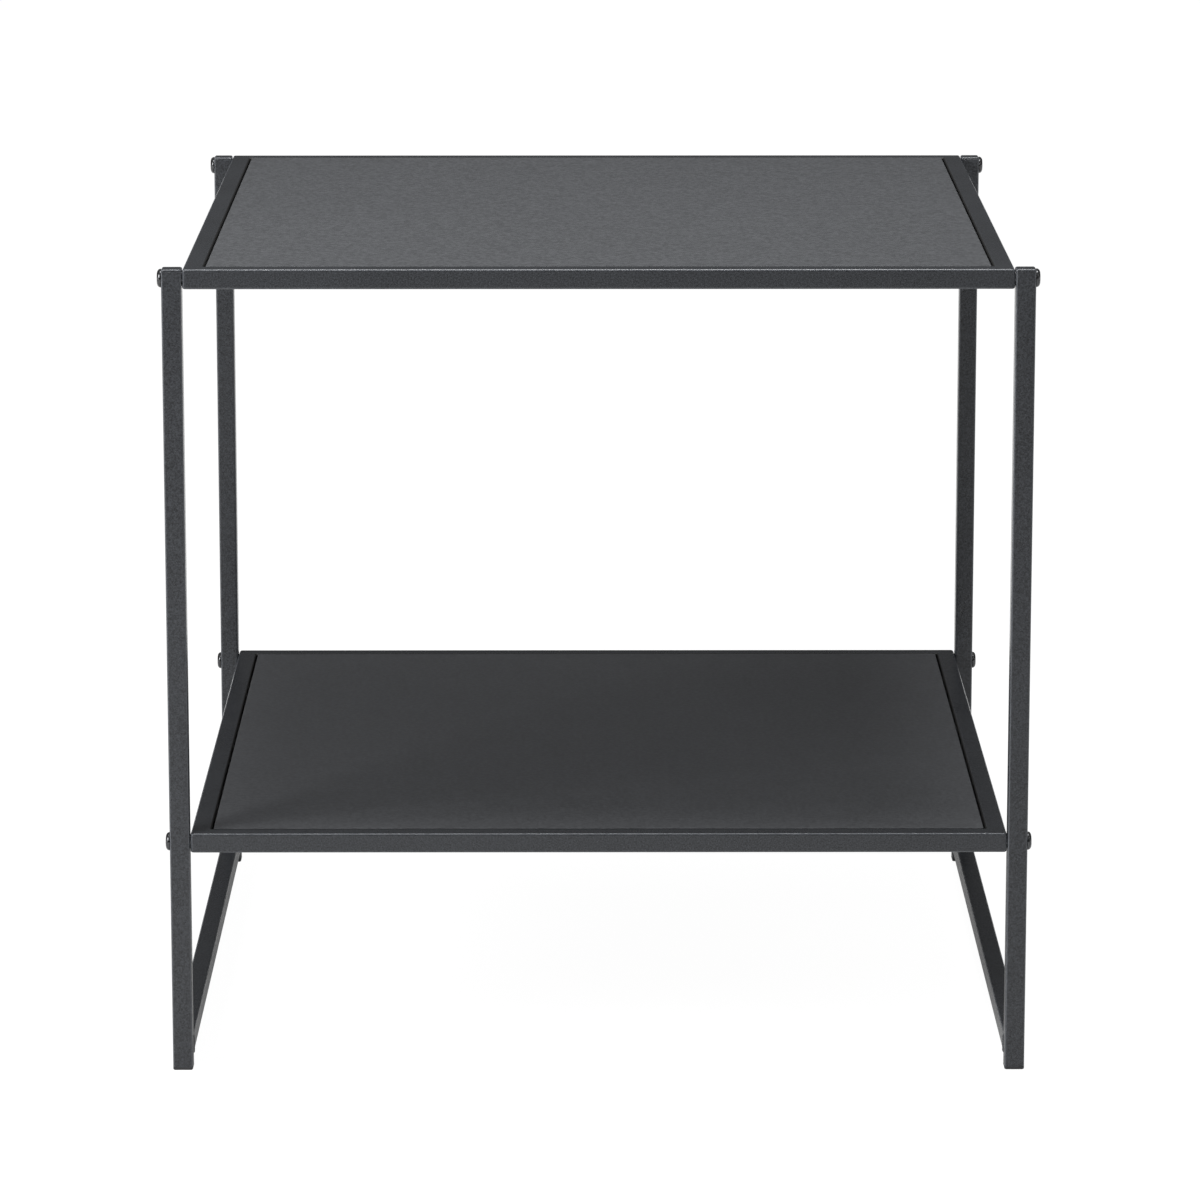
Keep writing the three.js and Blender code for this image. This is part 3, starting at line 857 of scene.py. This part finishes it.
def bolt_part(length):
    """A button-head bolt on the Z axis: the shank hangs below z = 0, the head stands on it."""
    rings = threaded_rings(
        length, BOLT_THREAD_RADIUS, BOLT_THREAD_DEPTH, BOLT_PITCH, BOLT_POINT, BOLT_SIDES
    )
    rim, flat = BOLT_HEAD_RADIUS, BOLT_HEAD_FLAT_RADIUS
    rise = BOLT_HEAD_HEIGHT - BOLT_HEAD_RIM
    profile = [(rim - 0.3, 0), (rim - 0.08, 0.08), (rim, 0.25)]
    for i in range(DOME_STEPS + 1):
        angle = math.radians(90) * i / DOME_STEPS
        radius = flat + (rim - flat) * math.cos(angle)
        profile.append((radius, BOLT_HEAD_RIM + rise * math.sin(angle)))
    profile.append((BOLT_FACE_INNER_RADIUS, BOLT_HEAD_HEIGHT))
    return skin(rings + flat_rings(profile, BOLT_SIDES))


def socket_part():
    """The hex socket's cutter, with a shallow cone at its bottom."""
    corner = SOCKET_ACROSS_FLATS / 2 / math.cos(math.pi / 6)
    top = BOLT_HEAD_HEIGHT + OVERSHOOT
    floor = BOLT_HEAD_HEIGHT - SOCKET_DEPTH
    profile = [(SOCKET_TIP_RADIUS, floor - SOCKET_CONE), (corner, floor), (corner, top)]
    return skin(flat_rings(profile, 6))


def nut_part(flange, length):
    """A set rivet nut on the Z axis: the flange stands on z = 0, the barrel hangs below it."""
    collar = -NUT_BULGE_START
    profile = [
        (NUT_BORE_RADIUS, flange - 0.2),
        (NUT_BORE_RADIUS, -length + 0.3),
        (NUT_BORE_RADIUS + 0.3, -length),
        (NUT_BARREL_RADIUS - 0.25, -length),
        (NUT_BARREL_RADIUS, -length + 0.25),
        (NUT_BARREL_RADIUS, collar - NUT_BULGE_LENGTH - 0.3),
        (NUT_BARREL_RADIUS + 0.25, collar - NUT_BULGE_LENGTH),
        (NUT_BULGE_RADIUS - 0.1, collar - NUT_BULGE_LENGTH * 0.7),
        (NUT_BULGE_RADIUS, collar - NUT_BULGE_LENGTH * 0.45),
        (NUT_BULGE_RADIUS - 0.1, collar - NUT_BULGE_LENGTH * 0.2),
        (NUT_BULGE_RADIUS - 0.4, collar),
        (NUT_BARREL_RADIUS, collar),
        (NUT_BARREL_RADIUS, 0),
        (NUT_FLANGE_RADIUS - 0.1, 0),
        (NUT_FLANGE_RADIUS, 0.15),
        (NUT_FLANGE_RADIUS, flange - 0.2),
        (NUT_FLANGE_RADIUS - 0.2, flange),
        (NUT_BORE_RADIUS + 0.2, flange),
    ]
    rings = flat_rings(profile, BOLT_SIDES)
    knurled = (5, 12)  # the barrel inside the rail, and the part that grips the wall
    for index in knurled:
        groove = 1 - NUT_KNURL_DEPTH / profile[index][0]
        rings[index] = [
            (x * groove, y * groove, z) if i % 2 else (x, y, z)
            for i, (x, y, z) in enumerate(rings[index])
        ]
    return skin(rings, closed=True)


def screw_part(length):
    """A pan-head screw on the Z axis: the shank runs up from z = 0, the head hangs below it."""
    shank = threaded_rings(
        length, SCREW_THREAD_RADIUS, SCREW_THREAD_DEPTH, SCREW_PITCH, SCREW_POINT, SCREW_SIDES
    )
    rim, face = SCREW_HEAD_RADIUS, SCREW_HEAD_FACE_RADIUS
    profile = [(rim - 0.15, 0), (rim, 0.15)]
    for i in range(SCREW_FACE_STEPS + 1):
        angle = math.radians(90) * i / SCREW_FACE_STEPS
        height = SCREW_RIM + (SCREW_HEAD_HEIGHT - SCREW_RIM) * math.sin(angle)
        profile.append((face + (rim - face) * math.cos(angle), height))
    upside_down = skin(shank + flat_rings(profile, SCREW_SIDES))
    return moved(upside_down, Matrix.Rotation(math.pi, 4, "X"))


def screw_recess_parts():
    """Two crossed tapering wedges that cut the screw's cross recess."""
    tools = []
    bottom, deep = -SCREW_HEAD_HEIGHT - OVERSHOOT, -SCREW_HEAD_HEIGHT + RECESS_DEPTH
    for turn in (0, 90):
        rings = []
        for z, share in ((bottom, 1.2), (-SCREW_HEAD_HEIGHT, 1.0), (deep, 0.55)):
            x, y = RECESS_SPAN / 2 * share, RECESS_WIDTH / 2 * (0.4 + 0.6 * share)
            rings.append([(x, y, z), (-x, y, z), (-x, -y, z), (x, -y, z)])
        tools.append(moved(skin(rings), turn_z(turn)))
    return tools


def build_bolts_and_nuts(level):
    for corner, (sx, _) in CORNERS.items():
        low, high = box_mm(f"{level}_bolt_{corner}")
        y, z = (low.y + high.y) / 2, (low.z + high.z) / 2
        seat = low.x + BOLT_HEAD_HEIGHT if sx < 0 else high.x - BOLT_HEAD_HEIGHT
        length = high.x - low.x - BOLT_HEAD_HEIGHT
        outward = ALONG_MINUS_X if sx < 0 else ALONG_X
        spin = turn_z(BOLT_TURN * list(CORNERS).index(corner))
        place = Matrix.Translation((seat, y, z)) @ outward @ spin
        bolt = make_object(f"{level}_bolt_{corner}_m6", moved(bolt_part(length), place))
        cut(bolt, moved(socket_part(), place))
        dress(bolt, [BLACK_ZINC], [f"{level}_bolt_{corner}"])

        low, high = box_mm(f"{level}_rivet_nut_{corner}")
        rail_low, rail_high = box_mm(f"{level}_{corner.split('_')[0]}_rail")
        face = rail_low.x if sx < 0 else rail_high.x
        flange = face - low.x if sx < 0 else high.x - face
        place = Matrix.Translation((face, y, z)) @ outward
        shape = moved(nut_part(flange, high.x - low.x - flange), place)
        nut = make_object(f"{level}_rivet_nut_{corner}_m6", shape)
        dress(nut, [ZINC], [f"{level}_rivet_nut_{corner}"])
        # The flange was coated along with the frame; the barrel inside the rail is bare.
        nut.data.materials.append(COAT)
        for panel in nut.data.polygons:
            if abs(panel.center.x) / MM > abs(face) + 0.01:
                panel.material_index = 1


# ---- Floor, light and camera -------------------------------------------------------------------

FLOOR_REACH = 60.0  # metres
FLOOR_SHADE = 0.55  # how white the floor is for the light that it throws back onto the table
FLOOR_LIT = 0.25  # the light that the floor sends up by itself, as a lit cove would
FLOOR_LIT_BEHIND = 0.85  # the same behind the table
FLOOR_BRIGHTENS = (0.4, 1.2)  # metres behind the table's middle, from the one to the other
FLOOR_GLOW = 0.975  # the floor as the camera sees it is lit from within, so its shadows stay faint
FLOOR_SHADOWED = 0.12  # the share of the camera's floor that takes shadows
BACKDROP = 0.98  # what the camera sees past the floor's end
STUDIO_FRONT = 0.05  # how bright the studio is on the camera's side, low down
STUDIO_BACK = 0.07
STUDIO_OVERHEAD = 0.45
CAMERA_PLACE = (-0.0101, -3.9218, 1.0823)
CAMERA_LENS = 172.96  # millimetres, on a 36 mm sensor
CAMERA_PITCH_DOWN = 0.2075  # radians
CAMERA_TURN_RIGHT = 0.0030


def build_floor():
    corners = [(x * FLOOR_REACH, y * FLOOR_REACH, 0) for x, y in CORNERS.values()]
    mesh = bpy.data.meshes.new("studio_floor")
    mesh.from_pydata(corners, [], [(0, 1, 2, 3)])
    floor = bpy.data.objects.new("studio_floor", mesh)
    bpy.context.scene.collection.objects.link(floor)
    s = Shader("studio_floor")
    speck = s.noise(900, detail=2.0)
    place = s.node("ShaderNodeSeparateXYZ")
    s.feed(place.inputs[0], s.place)
    lit = s.spread(place.outputs["Y"], FLOOR_LIT, FLOOR_LIT_BEHIND, *FLOOR_BRIGHTENS)
    s.finish(
        Base_Color=s.blend(speck, grey(FLOOR_SHADE), grey(FLOOR_SHADE + 0.01)),
        Roughness=0.9,
        Emission_Color=grey(1.0),
        Emission_Strength=lit,
    )
    glow, paper = s.node("ShaderNodeEmission"), s.node("ShaderNodeBsdfDiffuse")
    glow.inputs["Strength"].default_value = FLOOR_GLOW
    paper.inputs["Color"].default_value = grey(FLOOR_SHADOWED)
    from_above, seen = s.node("ShaderNodeAddShader"), s.node("ShaderNodeMixShader")
    s.feed(from_above.inputs[0], glow.outputs[0])
    s.feed(from_above.inputs[1], paper.outputs[0])
    s.feed(seen.inputs["Fac"], s.node("ShaderNodeNewGeometry").outputs["Backfacing"])
    s.feed(seen.inputs[1], from_above.outputs[0])
    s.feed(seen.inputs[2], s.node("ShaderNodeBsdfTransparent").outputs[0])
    choice = s.node("ShaderNodeMixShader")
    s.feed(choice.inputs["Fac"], s.node("ShaderNodeLightPath").outputs["Is Camera Ray"])
    s.feed(choice.inputs[1], s.surface.outputs[0])
    s.feed(choice.inputs[2], seen.outputs[0])
    output = next(n for n in s.tree.nodes if n.type == "OUTPUT_MATERIAL")
    s.feed(output.inputs["Surface"], choice.outputs[0])
    mesh.materials.append(s.material)


def build_world():
    """A white studio, brightest overhead and darkest low down on the camera's side."""
    world = bpy.data.worlds.new("studio")
    bpy.context.scene.world = world
    world.use_nodes = True
    tree = world.node_tree
    tree.nodes.clear()

    def add(kind, **settings):
        node = tree.nodes.new(kind)
        for key, value in settings.items():
            setattr(node, key, value)
        return node

    output = add("ShaderNodeOutputWorld")
    place = add("ShaderNodeTexCoord")
    parts = add("ShaderNodeSeparateXYZ")
    tree.links.new(place.outputs["Generated"], parts.inputs[0])

    def ramp(along, start, end):
        """Rises smoothly from start to end, measured along X, Y or Z of the direction."""
        made = add("ShaderNodeMapRange", interpolation_type="SMOOTHSTEP")
        made.inputs["From Min"].default_value = start
        made.inputs["From Max"].default_value = end
        tree.links.new(parts.outputs[along], made.inputs["Value"])
        return made

    low_down = ramp("Y", -0.35, 0.55)
    low_down.inputs["To Min"].default_value = STUDIO_FRONT
    low_down.inputs["To Max"].default_value = STUDIO_BACK
    upward = ramp("Z", 0.35, 0.85)
    strength = add("ShaderNodeMix", data_type="FLOAT")
    tree.links.new(upward.outputs["Result"], strength.inputs["Factor"])
    tree.links.new(low_down.outputs["Result"], strength.inputs["A"])
    strength.inputs["B"].default_value = STUDIO_OVERHEAD
    glow = add("ShaderNodeBackground")
    glow.inputs["Color"].default_value = (1, 1, 1, 1)
    tree.links.new(strength.outputs["Result"], glow.inputs["Strength"])
    seen = add("ShaderNodeBackground")
    seen.inputs["Color"].default_value = (BACKDROP, BACKDROP, BACKDROP, 1)
    path = add("ShaderNodeLightPath")
    mix = add("ShaderNodeMixShader")
    tree.links.new(path.outputs["Is Camera Ray"], mix.inputs["Fac"])
    tree.links.new(glow.outputs[0], mix.inputs[1])
    tree.links.new(seen.outputs[0], mix.inputs[2])
    tree.links.new(mix.outputs[0], output.inputs["Surface"])


def add_softbox(name, place, aim, width, height, power):
    data = bpy.data.lights.new(name, "AREA")
    data.shape = "RECTANGLE"
    data.size, data.size_y, data.energy = width, height, power
    lamp = bpy.data.objects.new(name, data)
    lamp.location = place
    lamp.rotation_euler = (Vector(aim) - Vector(place)).to_track_quat("-Z", "Y").to_euler()
    bpy.context.scene.collection.objects.link(lamp)


def build_lights():
    add_softbox("key_softbox", (-1.6, -1.4, 1.4), (0, 0, 0.3), 1.0, 1.0, 37)
    add_softbox("fill_softbox", (1.5, -2.2, 1.9), (0, 0, 0.3), 1.2, 1.2, 2)
    add_softbox("overhead_softbox", (0.1, -0.25, 2.4), (0, 0, 0), 1.2, 0.6, 31)
    add_softbox("left_strip", (-2.5, -0.9, 0.9), (0, 0, 0.4), 0.4, 2.2, 14)
    add_softbox("right_strip", (2.5, -0.9, 0.9), (0, 0, 0.4), 0.4, 2.2, 6)


def build_camera():
    data = bpy.data.cameras.new("camera")
    data.sensor_width, data.lens = 36.0, CAMERA_LENS
    camera = bpy.data.objects.new("camera", data)
    camera.location = CAMERA_PLACE
    camera.rotation_euler = (math.radians(90) - CAMERA_PITCH_DOWN, 0, -CAMERA_TURN_RIGHT)
    bpy.context.scene.collection.objects.link(camera)
    bpy.context.scene.camera = camera


build_legs()
build_low_bars()
for level in LEVELS:
    build_shelf_frame(level)
    build_tabs_and_screws(level)
    build_board(level)
    build_bolts_and_nuts(level)
build_floor()
build_world()
build_lights()
build_camera()
bpy.context.scene.view_settings.view_transform = "Standard"
